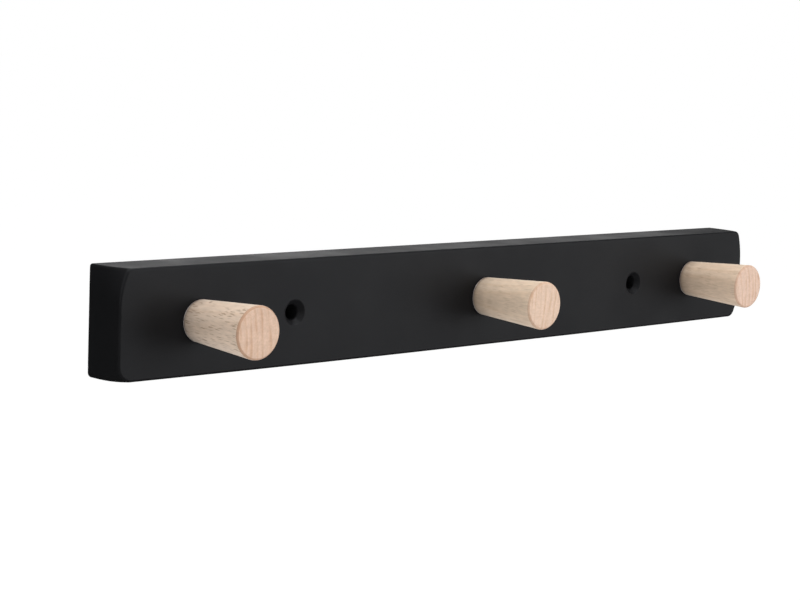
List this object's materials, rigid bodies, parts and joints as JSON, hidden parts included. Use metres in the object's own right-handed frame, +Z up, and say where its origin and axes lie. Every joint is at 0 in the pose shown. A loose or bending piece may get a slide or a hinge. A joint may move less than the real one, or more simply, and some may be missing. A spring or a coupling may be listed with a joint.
{
  "type": "wall hook rack",
  "caption": "Black painted wooden wall board with softly sanded ends, countersunk wall-screw holes and turned natural beech pegs that flare towards their free ends, for hanging coats.",
  "frame": {"origin": "centre of the board's back face, which lies on the wall", "axes": "+X along the board, +Y into the wall, +Z up; the pegs stand out towards -Y"},
  "size_m": [0.4, 0.0575, 0.0454],
  "materials": {
    "black_paint": "matt black paint on fine-grained wood",
    "beech": "sanded, unfinished beech",
    "screw_steel": "yellow-zinc plated steel"
  },
  "bodies": {
    "root": {"board": "black_paint", "peg_left": "beech", "peg_middle": "beech", "peg_right": "beech", "peg_screw_left": "screw_steel", "peg_screw_middle": "screw_steel", "peg_screw_right": "screw_steel"}
  },
  "joints": []
}
